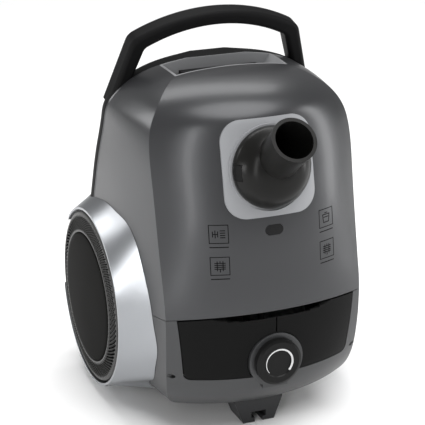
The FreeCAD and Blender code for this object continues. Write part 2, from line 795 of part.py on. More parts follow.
# ---------------------------------------------------------------- fenders
def fender():
    """The right fender: a flared skin, a liner round the wheel and a floor with the axle hole."""
    x_foot, x_rim = WELL_FLOOR - 12, WHEEL_FACE - 3
    spread = (x_rim - x_foot) / (x_rim - float(d.half_width) + 8)
    skin = Part.makeLoft([round_the_wheel(x_foot, spread, 0), round_the_wheel(x_rim, 0, 0)],
                         True, True)
    hollow = Part.makeLoft([round_the_wheel(x_foot - 1, spread, 2.4),
                            round_the_wheel(x_rim - 2.5, 0, 2.4)], True, True)
    skin = skin.cut(hollow).cut(envelope(-0.35))
    liner = wheel_well(1, RIM_RADIUS - 0.5, WELL_FLOOR - LINER, x_rim - 1)
    shape = skin.fuse(liner).cut(wheel_well(1, WELL_RADIUS, WELL_FLOOR, 400))
    axle_hole = wheel_well(1, float(d.axle_radius), 0, 200)
    ground = half_space(SPLIT_P + SPLIT_N * (float(d.band_depth) * math.cos(LEAN) + 23
                                             - float(d.ground_gap)), SPLIT_N)
    return shape.cut(axle_hole).cut(ground)


right_fender = fender()
part(solid("fender_right_form", right_fender), "fender_right")
part(solid("fender_left_form", mirrored(right_fender)), "fender_left")

# ---------------------------------------------------------------- rear wheels, hubcaps, axles
wheel_w = d.wheel_width
for side, label in ((-1, "wheel_left"), (1, "wheel_right")):
    inner_face = (d.half_width + d.wheel_stand - d.wheel_width) * side
    bore = d.axle_radius + d.run_clear
    profile = [(bore, 0), (12, 0), (12, 4), (d.hub_radius - 4, 4), (d.hub_radius, 0.6),
               (d.wheel_radius - 3, 0), (d.wheel_radius, 3), (d.wheel_radius, wheel_w - 5),
               (d.wheel_radius - 3, wheel_w - 1.5), (d.hub_radius + 1, wheel_w),
               (d.hub_radius + 1, wheel_w - 8), (d.hub_radius - 3, wheel_w - 8),
               (d.hub_radius - 3, 8), (12, 8), (12, 20), (bore, 20)]
    turned(label, profile, inner_face, d.wheel_y, d.wheel_height, (0, 1, 0), 90 * side)
for side, label in ((-1, "hubcap_left"), (1, "hubcap_right")):
    inner_face = (d.half_width + d.wheel_stand - d.wheel_width) * side
    cap = d.hub_radius
    profile = [(0, wheel_w + 0.6), (0, wheel_w + 3), (cap * 0.35, wheel_w + 2.5),
               (cap * 0.65, wheel_w + 1.4), (cap * 0.88, wheel_w - 0.6), (cap, wheel_w - 3),
               (cap, wheel_w - 8), (cap - 2.4, wheel_w - 8), (cap - 2.4, wheel_w - 4.4),
               (cap * 0.85, wheel_w - 3), (cap * 0.6, wheel_w - 1.2)]
    turned(label, profile, inner_face, d.wheel_y, d.wheel_height, (0, 1, 0), 90 * side)

axles = []
for side in (-1, 1):
    well = d.half_width + d.wheel_stand - d.wheel_width - 2 - LINER
    shaft = rod(d.axle_radius, 30.4, well * side, d.wheel_y, d.wheel_height, "x")
    flange = rod(14, 5, (well - 5) * side, d.wheel_y, d.wheel_height, "x")
    ring = rod(9, 2, (well + 25) * side, d.wheel_y, d.wheel_height, "x")
    if side < 0:
        for piece in (shaft, flange, ring):
            piece.Placement.Rotation = FreeCAD.Rotation(V(0, 1, 0), -90)
    axles.append(fuse(shaft, flange, ring))
part(group(*axles), "stub_axles")

# ---------------------------------------------------------------- parking bracket and rear feet
bracket = padded("parking_bracket", [[
    (d.bracket_foot / -2, 0), (d.bracket_foot / 2, 0), (d.bracket_top / 2, d.floor_height + 1),
    (d.bracket_top / 2, d.floor_height + 12), (d.bracket_top / -2, d.floor_height + 12),
    (d.bracket_top / -2, d.floor_height + 1)]], d.bracket_depth, "XZ_Plane")
pocket(bracket, [rect(d.slot_mouth / -2, d.slot_mouth / 2, -1, 6)], 60, "XZ_Plane", -5, True)
pocket(bracket, [rect(d.slot_wide / -2, d.slot_wide / 2, 5, 12)], 60, "XZ_Plane", -5, True)
place(bracket, 0, d.bracket_y + d.bracket_depth / 2, 0)
doc.recompute()
bracket_shape = bracket.Shape.copy().cut(OUTER)
bracket.Label = "bracket_blank"
part(solid("parking_bracket_form", bracket_shape), "parking_bracket")

feet = []
for side in (-1, 1):
    pad_foot = rod(d.foot_radius, d.floor_height, d.foot_x * side, d.foot_y, 0)
    stem = rod(4, d.wall_thick + 2, d.foot_x * side, d.foot_y, d.floor_height)
    feet.append(fuse(pad_foot, stem))
part(group(*feet), "rear_feet")

# ---------------------------------------------------------------- hose inlet: bezel, collar, elbow
skin = envelope(-float(d.bezel_proud)).cut(OUTER)
plate = at_inlet(rounded_square(float(d.bezel_size), -60, 30, 22))
seat_top = float(d.bezel_proud) - 0.1
bezel = skin.common(plate).cut(at_inlet(disc(float(d.seat_radius), -60, 60)))
bezel = bezel.fuse(at_inlet(disc(float(d.seat_radius), -8, seat_top)))
bezel = bezel.cut(at_inlet(disc(float(d.collar_radius), -60, 60)))
part(solid("inlet_bezel_form", bezel), "inlet_bezel")

spigot = d.spigot_radius
collar_in = spigot + d.run_clear
turned("inlet_collar", [(collar_in, -22), (d.collar_radius, -22), (d.collar_radius, -11),
                        (d.collar_radius + 8, -11), (d.collar_radius + 8, -8),
                        (d.collar_radius, -8), (d.collar_radius, d.bezel_proud - 0.1),
                        (d.collar_radius - 0.4, d.bezel_proud - 0.1), (collar_in, -3)],
       0, lift(INLET.Base.y), d.inlet_height, (1, 0, 0), d.inlet_tilt)

lift_off = float(d.bezel_proud) + 0.2
dome_r = float(d.dome_radius)
neck_r = float(d.neck_radius)
bore_r = float(d.bore_radius)
dome_points = [V(0, 0, lift_off), V(dome_r, 0, lift_off), V(dome_r, 0, lift_off + 3)]
curve_points = [V(dome_r, 0, lift_off + 3), V(dome_r * 0.95, 0, 11), V(dome_r * 0.83, 0, 19),
                V(dome_r * 0.64, 0, 26), V(dome_r * 0.36, 0, 30.5), V(0, 0, 32)]
curve = Part.BSplineCurve()
curve.interpolate(Points=curve_points, InitialTangent=V(-0.05, 0, 1), FinalTangent=V(-1, 0, 0))
outline = Part.Wire([Part.LineSegment(dome_points[0], dome_points[1]).toShape(),
                     Part.LineSegment(dome_points[1], dome_points[2]).toShape(),
                     curve.toShape(), Part.LineSegment(V(0, 0, 32), dome_points[0]).toShape()])
dome = Part.Face(outline).revolve(V(0, 0, 0), V(0, 0, 1), 360)
neck_tilt = math.radians(float(d.neck_tilt))
neck_dir = V(0, math.sin(neck_tilt), math.cos(neck_tilt))
neck_len = float(d.neck_length)
neck = Part.makeCylinder(neck_r, neck_len, V(0, 0, 0), neck_dir)
lip_ring = Part.makeCylinder(neck_r + 1.2, 5, neck_dir * (neck_len - 5), neck_dir)
below = Part.makeBox(200, 200, 100, V(-100, -100, lift_off - 100))
neck = neck.fuse(lip_ring).cut(below)
tail = disc(float(d.spigot_radius), -20, lift_off + 1)
clip_reach = dome_r - 9


def clip_block(side, grow):
    """The slot of a release clip in the side of the dome, grown by an amount."""
    x0 = clip_reach - (2.3 if grow else 0)
    xa, xb = sorted((side * x0, side * (dome_r + 5)))
    return block(xa, xb, -8 - grow, 8 + grow, lift_off + 3.4 - grow, lift_off + 13 + grow)


elbow = dome.fuse([neck, tail])
elbow = elbow.cut([Part.makeCylinder(bore_r, neck_len + 10, V(0, 0, 0), neck_dir),
                   disc(bore_r, -30, 0), Part.makeSphere(bore_r),
                   clip_block(-1, 0.35), clip_block(1, 0.35)])
part(solid("hose_elbow_form", at_inlet(elbow)), "hose_elbow")
for side, label in ((-1, "clip_left"), (1, "clip_right")):
    key = dome.common(clip_block(side, 0))
    part(solid(label + "_form", at_inlet(key)), label)

# ---------------------------------------------------------------- bag-full window and flag
z_win = float(d.window_height)
y_win = front_at(z_win)
lens = window_shape(-0.1, -200, y_win + 7).common(OUTER)
lens = lens.fuse(block(-15, 15, y_win + 7, y_win + 8.5, z_win - 9, z_win + 9))
lens = lens.fuse([block(s - 1, s + 1, y_win + 8.5, y_win + 12, z_win - 9, z_win + 9)
                  for s in (-14, 14)])
part(solid("indicator_window_form", lens), "indicator_window")
flag = box(-12.6, 12.6, y_win + 9.1, y_win + 11, z_win - 16, z_win + 3)
part(flag, "indicator_flag")

# ---------------------------------------------------------------- pedals, rod, torsion springs
skin = OUTER.cut(envelope(float(d.pedal_thick)))
hole = along_y(ring_r + pgap, -300, 0, 0, knob_z)
seam_cut = above_seam(-1.4)


def pedal(side, label, push_x, push_y):
    """One pedal: curved plate, two hooks on the rod and a push rib."""
    xa, xb = sorted((side * 0.7, side * pedal_x))
    area = pedal_field(0).common(block(xa, xb, -300, -60, pedal_low, 400))
    plate = skin.common(area).cut([hole, seam_cut, hinge_room(3.8)])
    inner = envelope(1.2).common(area)
    pieces = []
    for x0, x1 in ((34, 38), (76, 80)):
        a, b = sorted((side * x0, side * x1))
        pieces.append(block(a, b, -200, rod_y + 4.6, rod_z - 3, rod_z + 4.6).common(inner))
    a, b = sorted((push_x - 2, push_x + 2))
    pieces.append(block(a, b, -200, push_y, 112, 122).common(inner))
    shape = plate.fuse(pieces)
    run = along_x(float(d.rod_radius) + float(d.run_clear), -200, 200, rod_y, rod_z)
    return part(solid(label + "_form", shape.cut([run, hole])), label)


switch_x, lever_x = -82, 42
pedal(-1, "pedal_power", switch_x, -82.5)
pedal(1, "pedal_rewind", lever_x, -82.5)
part(rod(d.rod_radius, d.rod_half * 2, -d.rod_half, d.rod_y, d.rod_height, "x"),
     "pedal_pivot_rod")
coils = []
for side in (-1, 1):
    tube = rod(d.rod_radius + 1.6, 9, d.post_x * side - 4.5, d.rod_y, d.rod_height, "x")
    hollow = rod(d.rod_radius, 9, d.post_x * side - 4.5, d.rod_y, d.rod_height, "x")
    leg = box(d.post_x * side + 3, d.post_x * side + 4.4, d.rod_y - 4, d.rod_y - 2.8,
              d.rod_height, d.rod_height + 14)
    coils.append(cut(fuse(tube, leg), hollow))
part(group(*coils), "pedal_springs")

# ---------------------------------------------------------------- knob, potentiometer, board
knob_r = d.knob_radius
turned("power_knob", [(0, 0), (knob_r * 0.62, 0), (knob_r * 0.66, 1.2), (knob_r * 0.9, 1.2),
                      (knob_r, 0), (knob_r, -6), (d.shaft_radius, -6), (d.shaft_radius, -24),
                      (0, -24)],
       0, d.knob_face, d.knob_height, (1, 0, 0), 90)
pot_y = d.ring_face + 12.6
pot = rod(9, 9, 0, pot_y, d.knob_height, "y")
pot_bore = rod(d.shaft_radius + d.run_clear, 20, 0, pot_y - 5, d.knob_height, "y")
part(cut(pot, pot_bore), "potentiometer")
board_y = pot_y + 9
board = box(-34, 34, board_y, board_y + 1.6, d.knob_height - 8, d.knob_height + 24)
chips = [box(x, x + w, board_y + 1.6, board_y + 1.6 + t, d.knob_height + z, d.knob_height + z + w)
         for x, z, w, t in ((-28, 2, 12, 6), (-8, -4, 9, 9), (8, 8, 14, 5), (24, -4, 6, 4))]
part(fuse(board, *chips), "circuit_board")

case_y = -68
switch = box(switch_x - 9, switch_x + 9, case_y, case_y + 20, 108, 127)
plunger_bore = rod(3.1, 14, switch_x, case_y - 4, 118, "y")
part(cut(switch, plunger_bore), "power_switch")
part(rod(3, 20, switch_x, case_y - 14, 118, "y"), "switch_plunger")

# ---------------------------------------------------------------- motor
fan_top = d.fan_top
fan_low = d.fan_bottom
ft = d.sheet_thick
turned("fan_cover", [(25, fan_top - ft), (d.fan_radius - ft, fan_top - ft),
                     (d.fan_radius - ft, fan_low), (d.fan_radius, fan_low),
                     (d.fan_radius, fan_top), (25, fan_top)], d.motor_x, d.motor_y, 0)
can = d.can_radius
turned("motor_can", [(d.rotor_radius + d.run_clear, d.can_bottom), (can, d.can_bottom),
                     (can, fan_low - ft), (d.fan_radius, fan_low - ft), (d.fan_radius, fan_low),
                     (d.rotor_radius + d.run_clear, fan_low),
                     (d.rotor_radius + d.run_clear, fan_low - ft), (can - ft, fan_low - ft),
                     (can - ft, d.can_bottom + ft), (d.rotor_radius + d.run_clear,
                                                     d.can_bottom + ft)],
       d.motor_x, d.motor_y, 0)
stator = padded("stator_core", [("circle", 0, 0, can - ft), ("circle", 0, 0, d.can_radius - 19)],
                24)
place(stator, d.motor_x, d.motor_y, 46)
part(stator, "stator_core")
turned("rotor_shaft", [(0, 28), (d.rotor_radius, 28), (d.rotor_radius, 106), (0, 106)],
       d.motor_x, d.motor_y, 0)
turned("armature", [(d.rotor_radius, 37), (11, 37), (11, 43), (14, 45), (23, 47), (23, 69),
                    (14, 72), (d.rotor_radius, 72)], d.motor_x, d.motor_y, 0)
hub = rod(11, 20, d.motor_x, d.motor_y, 83)
back_plate = rod(d.fan_radius - 5, 1.2, d.motor_x, d.motor_y, 83)
vanes = []
for k in range(9):
    vane = doc.addObject("Part::Box", "vane")
    bind(vane, "Length", d.fan_radius - 16)
    bind(vane, "Width", 1.2)
    bind(vane, "Height", 16)
    place(vane, d.motor_x, d.motor_y, 84, (0, 0, 1), 40 * k)
    vanes.append(vane)
rotor_hole = rod(d.rotor_radius, 40, d.motor_x, d.motor_y, 75)
part(cut(fuse(hub, back_plate, *vanes), rotor_hole), "fan_impeller")
brushes = []
for side in (-1, 1):
    x0 = d.motor_x + 11.3 if side > 0 else d.motor_x - 11.3 - 20
    brushes.append(box(x0, x0 + 20, d.motor_y - 3, d.motor_y + 3, 37.5, 42.5))
part(group(*brushes), "carbon_brushes")

seal = Part.makeCylinder(36, 60, V(mx, my, float(d.fan_top)))
seal = seal.cut(Part.makeCylinder(28, 60, V(mx, my, float(d.fan_top))))
seal = seal.cut(above_seam(deck_low))
part(solid("motor_seal_front_form", seal), "motor_seal_front")
mount = cut(rod(24, d.can_bottom - d.floor_height - d.wall_thick, d.motor_x, d.motor_y,
                d.floor_height + d.wall_thick),
            rod(12, 40, d.motor_x, d.motor_y, 10))
part(mount, "motor_mount_rear")

# ---------------------------------------------------------------- cord reel and brake
foot_z = d.floor_height + d.wall_thick
left, right = d.reel_left, d.reel_right
sole_z = foot_z + 4.6
plates = [box(x0, x1, d.reel_y - 18, d.reel_y + 18, sole_z, d.reel_height + 8)
          for x0, x1 in ((left - 14, left - 12), (right + 2, right + 4))]
sole = box(left - 14, right + 4, d.reel_y - 18, d.reel_y + 18, sole_z, sole_z + 1.6)
stands = [box(x, x + 8, d.reel_y - 14, d.reel_y + 14, foot_z, sole_z)
          for x in (left - 10, right - 22)]
axle = rod(d.reel_axle, right - left + 18, left - 14, d.reel_y, d.reel_height, "x")
strip = box(44, 50, -50, d.reel_y, sole_z, sole_z + 1.6)
tower = box(46, 49, -50, -40, sole_z, 80)
peg = rod(2.5, 6.4, 39.8, -45, 75, "x")
part(fuse(*plates, *stands, sole, axle, strip, tower, peg), "reel_bracket")
run = d.reel_axle + d.run_clear
rr = d.reel_radius
turned("reel_drum", [(run, 0), (rr, 0), (rr, 6), (d.reel_core, 8), (d.reel_core, right - left - 2),
                     (rr, right - left - 2), (rr, right - left), (run, right - left)],
       left, d.reel_y, d.reel_height, (0, 1, 0), 90)
cassette = cut(rod(30, 10, left - 11.6, d.reel_y, d.reel_height, "x"),
               rod(d.reel_axle, 20, left - 15, d.reel_y, d.reel_height, "x"))
part(cassette, "reel_spring")

reach = float(d.reel_radius) + float(d.roller_radius) + 0.3
roller_y = d.reel_y - reach * 0.866
roller_z = d.reel_height - reach * 0.5
roller = cut(rod(d.roller_radius, 5, left + 0.5, roller_y, roller_z, "x"),
             rod(2.05, 20, left - 4, roller_y, roller_z, "x"))
part(roller, "brake_roller")


def bar(y0, z0, y1, z1, width, x0, x1):
    """A flat bar with round ends between two points of the YZ plane."""
    run_y, run_z = y1 - y0, z1 - z0
    length = math.hypot(run_y, run_z)
    body = Part.makeBox(x1 - x0, length, width, V(0, 0, -width / 2))
    turn = FreeCAD.Rotation(V(1, 0, 0), math.degrees(math.atan2(run_z, run_y)))
    body.Placement = FreeCAD.Placement(V(x0, y0, z0), turn)
    return body.fuse([along_x(width / 2, x0, x1, y0, z0), along_x(width / 2, x0, x1, y1, z1)])


ry, rz = float(roller_y), float(roller_z)
lever = bar(-45, 75, ry, rz, 9, 40.2, 43.4).fuse(bar(-45, 75, -77.6, 118, 8, 40.2, 43.4))
lever = lever.fuse(along_x(2, float(left) + 0.2, 41, ry, rz))
lever = lever.cut(along_x(2.55, 30, 60, -45, 75))
part(solid("brake_lever_form", lever), "brake_lever")

bush = padded("cord_outlet_bush", [("circle", 0, 0, 8), ("circle", 0, 0, 4)],
              d.wall_thick + 5)
place(bush, 64, -38, d.floor_height - 1.5)
part(bush, "cord_outlet_bush")

# ---------------------------------------------------------------- exhaust grille and filter
grille = padded("exhaust_grille", [rect(-46, 46, -18, 18)], 3)
slots = [rect(-42 + 6 * i, -39 + 6 * i, -14, 14) for i in range(15)]
pocket(grille, slots, 10, "XY_Plane", 5)
grille.Placement = EXHAUST.multiply(FreeCAD.Placement(V(0, 0, -3), FreeCAD.Rotation()))
part(grille, "exhaust_grille")
pad_filter = doc.addObject("Part::Box", "filter_pad")
for prop, size in (("Length", 90), ("Width", 34), ("Height", 9)):
    bind(pad_filter, prop, size)
pad_filter.Placement = EXHAUST.multiply(FreeCAD.Placement(V(-45, -17, -12), FreeCAD.Rotation()))
part(pad_filter, "exhaust_filter")

# ---------------------------------------------------------------- caster under the nose
cup_r = float(d.cup_radius)
cup = turned("caster_socket", [(0, -12), (d.cup_radius, -12), (d.cup_radius, 0),
                               (d.cup_radius + 3, 0), (d.cup_radius + 3, 1.5),
                               (d.cup_radius - 2, 1.5), (d.cup_radius - 2, -10), (3.5, -10),
                               (3.5, -4), (0, -4)])
cup.Placement = CASTER
crad = float(d.caster_radius)
axle_s = 23 - crad
trail = float(d.caster_trail)
cw = float(d.caster_width)
fork = disc(8, -9.6, -1.5).cut(disc(3.55, -20, -3.8))
fork = fork.fuse(Part.makeBox(cw + 6, 12, 2, V(-(cw + 6) / 2, -4, -3.5)))
for side in (-1, 1):
    x0 = side * (cw / 2 + 1.7) - 1.2
    cheek = Part.makeBox(2.4, 13, axle_s + 4.5, V(x0, -4, -3.5))
    end = Part.makeCylinder(4.5, 2.4, V(x0, trail, axle_s), V(1, 0, 0))
    fork = fork.fuse([cheek, end])
fork = fork.cut(Part.makeCylinder(crad + 1, cw + 1.2, V(-cw / 2 - 0.6, trail, axle_s),
                                  V(1, 0, 0)))
fork = fork.cut(Part.makeCylinder(float(d.caster_axle), 60, V(-30, trail, axle_s), V(1, 0, 0)))
part(solid("caster_fork_form", put(CASTER, fork)), "caster_fork")
wheel = Part.makeCylinder(crad, cw, V(-cw / 2, trail, axle_s), V(1, 0, 0))
rims = [e for e in wheel.Edges if e.Length > 50 and e.Curve.TypeId == "Part::GeomCircle"]
wheel = wheel.makeFillet(2.5, rims)
wheel = wheel.cut(Part.makeCylinder(float(d.caster_axle) + float(d.run_clear), 60,
                                    V(-30, trail, axle_s), V(1, 0, 0)))
part(solid("caster_wheel_form", put(CASTER, wheel)), "caster_wheel")
axle_pin = Part.makeCylinder(float(d.caster_axle), cw + 5.8, V(-cw / 2 - 2.9, trail, axle_s),
                             V(1, 0, 0))
part(solid("caster_pin_form", put(CASTER, axle_pin)), "caster_pin")

# ---------------------------------------------------------------- screws
screws = []
for side in (-1, 1):
    x = d.post_x * side
    screws.append(fuse(rod(4, 2.2, x, d.post_y, d.floor_height - 2.2),
                       rod(d.screw_radius, d.wall_thick + 12, x, d.post_y, d.floor_height)))
    top_z = seam_z(float(d.post_y)) + deck_top / math.cos(TILT) + 1.2
    screws.append(fuse(rod(4, 2.2, x, d.post_y, top_z),
                       rod(d.screw_radius, 16, x, d.post_y, top_z - 16)))
part(group(*screws), "housing_screws")

# ---------------------------------------------------------------- check and write
doc.recompute()
bad = [o.Name for o in doc.Objects if "Invalid" in o.State or "Error" in o.State]
if bad:
    raise RuntimeError("failed objects: %s" % ", ".join(bad))
labels = [o.Label for o in PARTS]
if len(set(labels)) != len(labels):
    raise RuntimeError("a label is used twice")
os.makedirs("parts", exist_ok=True)
for obj in PARTS:
    shape = obj.Shape
    if shape.isNull() or not shape.isValid() or not shape.Solids:
        raise RuntimeError("no sound solid in %s" % obj.Label)
    shape.exportStep("parts/%s.step" % obj.Label)
print("%d parts written" % len(PARTS))
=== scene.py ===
import bpy
import math
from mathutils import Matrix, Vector
from mathutils.bvhtree import BVHTree


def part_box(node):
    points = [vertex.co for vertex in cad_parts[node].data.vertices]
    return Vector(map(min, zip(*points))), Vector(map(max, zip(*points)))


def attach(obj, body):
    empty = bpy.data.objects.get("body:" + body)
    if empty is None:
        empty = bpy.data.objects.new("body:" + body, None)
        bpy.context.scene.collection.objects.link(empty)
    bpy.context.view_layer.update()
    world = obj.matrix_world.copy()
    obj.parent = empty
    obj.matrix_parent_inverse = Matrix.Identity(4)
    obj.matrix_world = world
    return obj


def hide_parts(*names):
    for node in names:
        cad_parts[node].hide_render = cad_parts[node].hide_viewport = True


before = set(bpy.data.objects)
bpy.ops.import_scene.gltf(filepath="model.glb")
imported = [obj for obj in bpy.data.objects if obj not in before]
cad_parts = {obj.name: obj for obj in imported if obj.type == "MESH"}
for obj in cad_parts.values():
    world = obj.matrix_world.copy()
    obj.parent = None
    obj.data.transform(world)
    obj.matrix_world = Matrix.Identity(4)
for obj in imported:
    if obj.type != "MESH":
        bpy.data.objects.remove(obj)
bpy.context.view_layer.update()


# ------------------------------------------------------------ lower housing and lid
# The front half of the body is two injection-moulded shells in metal-flake ABS: the lower
# housing round the pedals, and the deep lid that hinges on it. Both leave the mould glossy.

def moulded(name, colour, roughness, metallic=0.0, coat=0.0, grain=900.0, depth=0.03,
            patch=0.05, flake=0.0, shine=0.5):
    """A moulded plastic: fine surface grain, slightly uneven gloss and colour, metal flake."""
    mat = bpy.data.materials.new(name)
    mat.use_nodes = True
    tree = mat.node_tree
    shader = tree.nodes["Principled BSDF"]
    shader.inputs["Metallic"].default_value = metallic
    shader.inputs["Specular IOR Level"].default_value = shine
    shader.inputs["Coat Weight"].default_value = coat
    shader.inputs["Coat Roughness"].default_value = 0.12
    place = tree.nodes.new("ShaderNodeTexCoord")
    skin = tree.nodes.new("ShaderNodeTexNoise")
    skin.inputs["Scale"].default_value = grain
    skin.inputs["Detail"].default_value = 3.0
    bump = tree.nodes.new("ShaderNodeBump")
    bump.inputs["Strength"].default_value = depth
    bump.inputs["Distance"].default_value = 0.0006
    cloud = tree.nodes.new("ShaderNodeTexNoise")
    cloud.inputs["Scale"].default_value = 14.0
    cloud.inputs["Detail"].default_value = 4.0
    gloss = tree.nodes.new("ShaderNodeMapRange")
    gloss.inputs["To Min"].default_value = roughness - 0.04
    gloss.inputs["To Max"].default_value = roughness + 0.05
    tint = tree.nodes.new("ShaderNodeValToRGB")
    low = [c * (1.0 - patch) for c in colour]
    high = [min(1.0, c * (1.0 + patch)) for c in colour]
    tint.color_ramp.elements[0].color = (*low, 1.0)
    tint.color_ramp.elements[1].color = (*high, 1.0)
    link = tree.links.new
    for noise in (skin, cloud):
        link(place.outputs["Object"], noise.inputs["Vector"])
    link(skin.outputs["Fac"], bump.inputs["Height"])
    link(bump.outputs["Normal"], shader.inputs["Normal"])
    link(cloud.outputs["Fac"], gloss.inputs["Value"])
    link(gloss.outputs["Result"], shader.inputs["Roughness"])
    if flake:
        speck = tree.nodes.new("ShaderNodeTexVoronoi")
        speck.inputs["Scale"].default_value = 1500.0
        link(place.outputs["Object"], speck.inputs["Vector"])
        mix = tree.nodes.new("ShaderNodeMix")
        mix.data_type = "FLOAT"
        mix.inputs["Factor"].default_value = flake
        link(cloud.outputs["Fac"], mix.inputs["A"])
        link(speck.outputs["Distance"], mix.inputs["B"])
        link(mix.outputs["Result"], tint.inputs["Fac"])
    else:
        link(cloud.outputs["Fac"], tint.inputs["Fac"])
    link(tint.outputs["Color"], shader.inputs["Base Color"])
    return mat


def finish_nodes(material, *names):
    """Gives these CAD nodes one finish."""
    for name in names:
        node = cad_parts[name]
        for slot in node.material_slots:
            slot.material = material


lid_grey = moulded("lid_grey", (0.048, 0.049, 0.052), 0.31, metallic=0.45, coat=0.08,
                   depth=0.004, patch=0.03, flake=0.08)
frame_grey = moulded("frame_grey", (0.05, 0.051, 0.053), 0.38, metallic=0.4, coat=0.05,
                     depth=0.008, patch=0.03, flake=0.08)
finish_nodes(lid_grey, "lid")
finish_nodes(frame_grey, "lower_housing")


# ------------------------------------------------------------ base shell and carry handle
# The back tray and the carry handle are fine-textured black polypropylene. The handle is
# moulded hollow and snaps on to the tray's side bands.

band_black = moulded("band_black", (0.008, 0.008, 0.0083), 0.5, depth=0.06, grain=1400.0,
                     shine=0.05)
finish_nodes(band_black, "base_shell", "carry_handle")


# ------------------------------------------------------------ parking bracket and recess
# The slotted bracket under the rear end takes the hook of the floor head. It and the finger
# trough in the lid are satin grey mouldings, pushed in from outside.

bracket_grey = moulded("bracket_grey", (0.03, 0.0305, 0.032), 0.45, metallic=0.2, depth=0.05,
                       shine=0.3)
recess_grey = moulded("recess_grey", (0.27, 0.273, 0.28), 0.4, metallic=0.2,
                      depth=0.02, flake=0.2)
latch_black = moulded("latch_black", (0.008, 0.008, 0.0085), 0.4, depth=0.04, shine=0.15)
finish_nodes(bracket_grey, "parking_bracket")
finish_nodes(recess_grey, "latch_recess")
finish_nodes(latch_black, "lid_latch")


# ------------------------------------------------------------ marks printed on the lid
# Four small framed symbols, each over a short caption line, are pad-printed on the lid's front.
# The ink is a thin dark film, so each stroke is a narrow strip laid on the surface.

def new_piece(name, verts, faces, material, smooth=True):
    """A mesh piece in the object's own frame."""
    mesh = bpy.data.meshes.new(name)
    mesh.from_pydata(verts, [], faces)
    mesh.update()
    piece = bpy.data.objects.new(name, mesh)
    bpy.context.scene.collection.objects.link(piece)
    mesh.materials.append(material)
    if smooth:
        mesh.shade_smooth()
    return piece


lid_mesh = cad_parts["lid"].data
lid_skin = BVHTree.FromPolygons([v.co for v in lid_mesh.vertices],
                                [tuple(p.vertices) for p in lid_mesh.polygons])
ink = moulded("printed_ink", (0.004, 0.004, 0.004), 0.6, depth=0.02, patch=0.1, shine=0.08)


def on_lid(x, z, lift):
    """The point on the lid's front at this x and height, lifted off it a little."""
    hit, normal = lid_skin.ray_cast(Vector((x, -0.4, z)), Vector((0, 1, 0)))[:2]
    if normal.y > 0:
        normal = -normal
    return hit + normal * lift


def strokes(name, lines, width):
    """One printed mark: straight strokes, each a strip that follows the lid."""
    ink_film, longest_part = 0.00008, 0.003
    verts, faces = [], []
    for (x0, z0), (x1, z1) in lines:
        run = Vector((x1 - x0, z1 - z0))
        side = Vector((-run.y, run.x)).normalized() * width / 2
        end = run.normalized() * width / 2
        parts = max(1, round(run.length / longest_part))
        first = len(verts)
        for k in range(parts + 1):
            t = k / parts
            spot = Vector((x0, z0)) - end + (run + 2 * end) * t
            for s in (-1, 1):
                verts.append(on_lid(spot.x + s * side.x, spot.y + s * side.y, ink_film))
        for k in range(parts):
            a = first + 2 * k
            faces.append((a, a + 1, a + 3, a + 2))
    mark = new_piece(name, verts, faces, ink, smooth=False)
    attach(mark, "lid_body")


def framed_symbol(name, x, z, glyph):
    """A square frame with a glyph in it and a caption of short dashes below."""
    half, caption_drop = 0.0092, 0.0042
    frame_line, glyph_line, caption_line = 0.0008, 0.0009, 0.001
    left, right, low, high = x - half, x + half, z - half, z + half
    strokes(name + "_frame", [((left, low), (right, low)), ((right, low), (right, high)),
                              ((right, high), (left, high)), ((left, high), (left, low))],
            frame_line)
    strokes(name + "_glyph", [((x + a, z + b), (x + c, z + e)) for a, b, c, e in glyph],
            glyph_line)
    dashes = [(-0.0088, -0.0052), (-0.0042, -0.0012), (-0.0002, 0.0026), (0.0036, 0.0056),
              (0.0066, 0.0086)]
    strokes(name + "_caption", [((x + a, low - caption_drop), (x + b, low - caption_drop))
                                for a, b in dashes], caption_line)


bag_glyph = [(-0.0045, 0.0035, 0.0045, 0.0035), (0.0045, 0.0035, 0.0035, -0.0045),
             (0.0035, -0.0045, -0.0035, -0.0045), (-0.0035, -0.0045, -0.0045, 0.0035),
             (-0.0016, 0.0052, 0.0016, 0.0052), (-0.0028, 0.0008, 0.0028, 0.0008)]
filter_glyph = [(-0.005, b, 0.005, b) for b in (-0.003, -0.001, 0.001, 0.003)]
filter_glyph += [(0, 0.0048, 0, 0.0036), (-0.0028, -0.0046, -0.0028, 0.0046),
                 (0.0028, -0.0046, 0.0028, 0.0046), (0, -0.0036, 0, -0.006)]
air_glyph = [(-0.0058, 0.0025, -0.0058, -0.0025), (-0.0034, 0.0035, -0.0034, -0.0035),
             (-0.001, 0.0025, -0.001, -0.0025), (0.0016, 0.0035, 0.0058, 0.0035),
             (0.0016, 0.0012, 0.0058, 0.0012), (0.0016, -0.0012, 0.0058, -0.0012),
             (0.0016, -0.0035, 0.0058, -0.0035), (-0.0058, 0, -0.001, 0)]
left_x, right_x, upper_z, lower_z = -0.0568, 0.0635, 0.2325, 0.1997
framed_symbol("symbol_air", left_x, upper_z, air_glyph)
framed_symbol("symbol_filter_left", left_x, lower_z, filter_glyph)
framed_symbol("symbol_bag", right_x, upper_z, bag_glyph)
framed_symbol("symbol_filter_right", right_x, lower_z, filter_glyph)


# ------------------------------------------------------------ fenders and inlet bezel
# The wheel arches are ABS mouldings sprayed with silver paint. The rounded square plate round
# the hose inlet is moulded in a paler satin silver and clips into the lid.

silver = moulded("silver_paint", (0.3, 0.31, 0.325), 0.3, metallic=0.85, depth=0.0,
                 patch=0.02)
bezel_silver = moulded("bezel_silver", (0.33, 0.336, 0.35), 0.42, metallic=0.3, coat=0.05,
                       depth=0.006, patch=0.03, flake=0.1)
finish_nodes(silver, "fender_left", "fender_right")
finish_nodes(bezel_silver, "inlet_bezel")
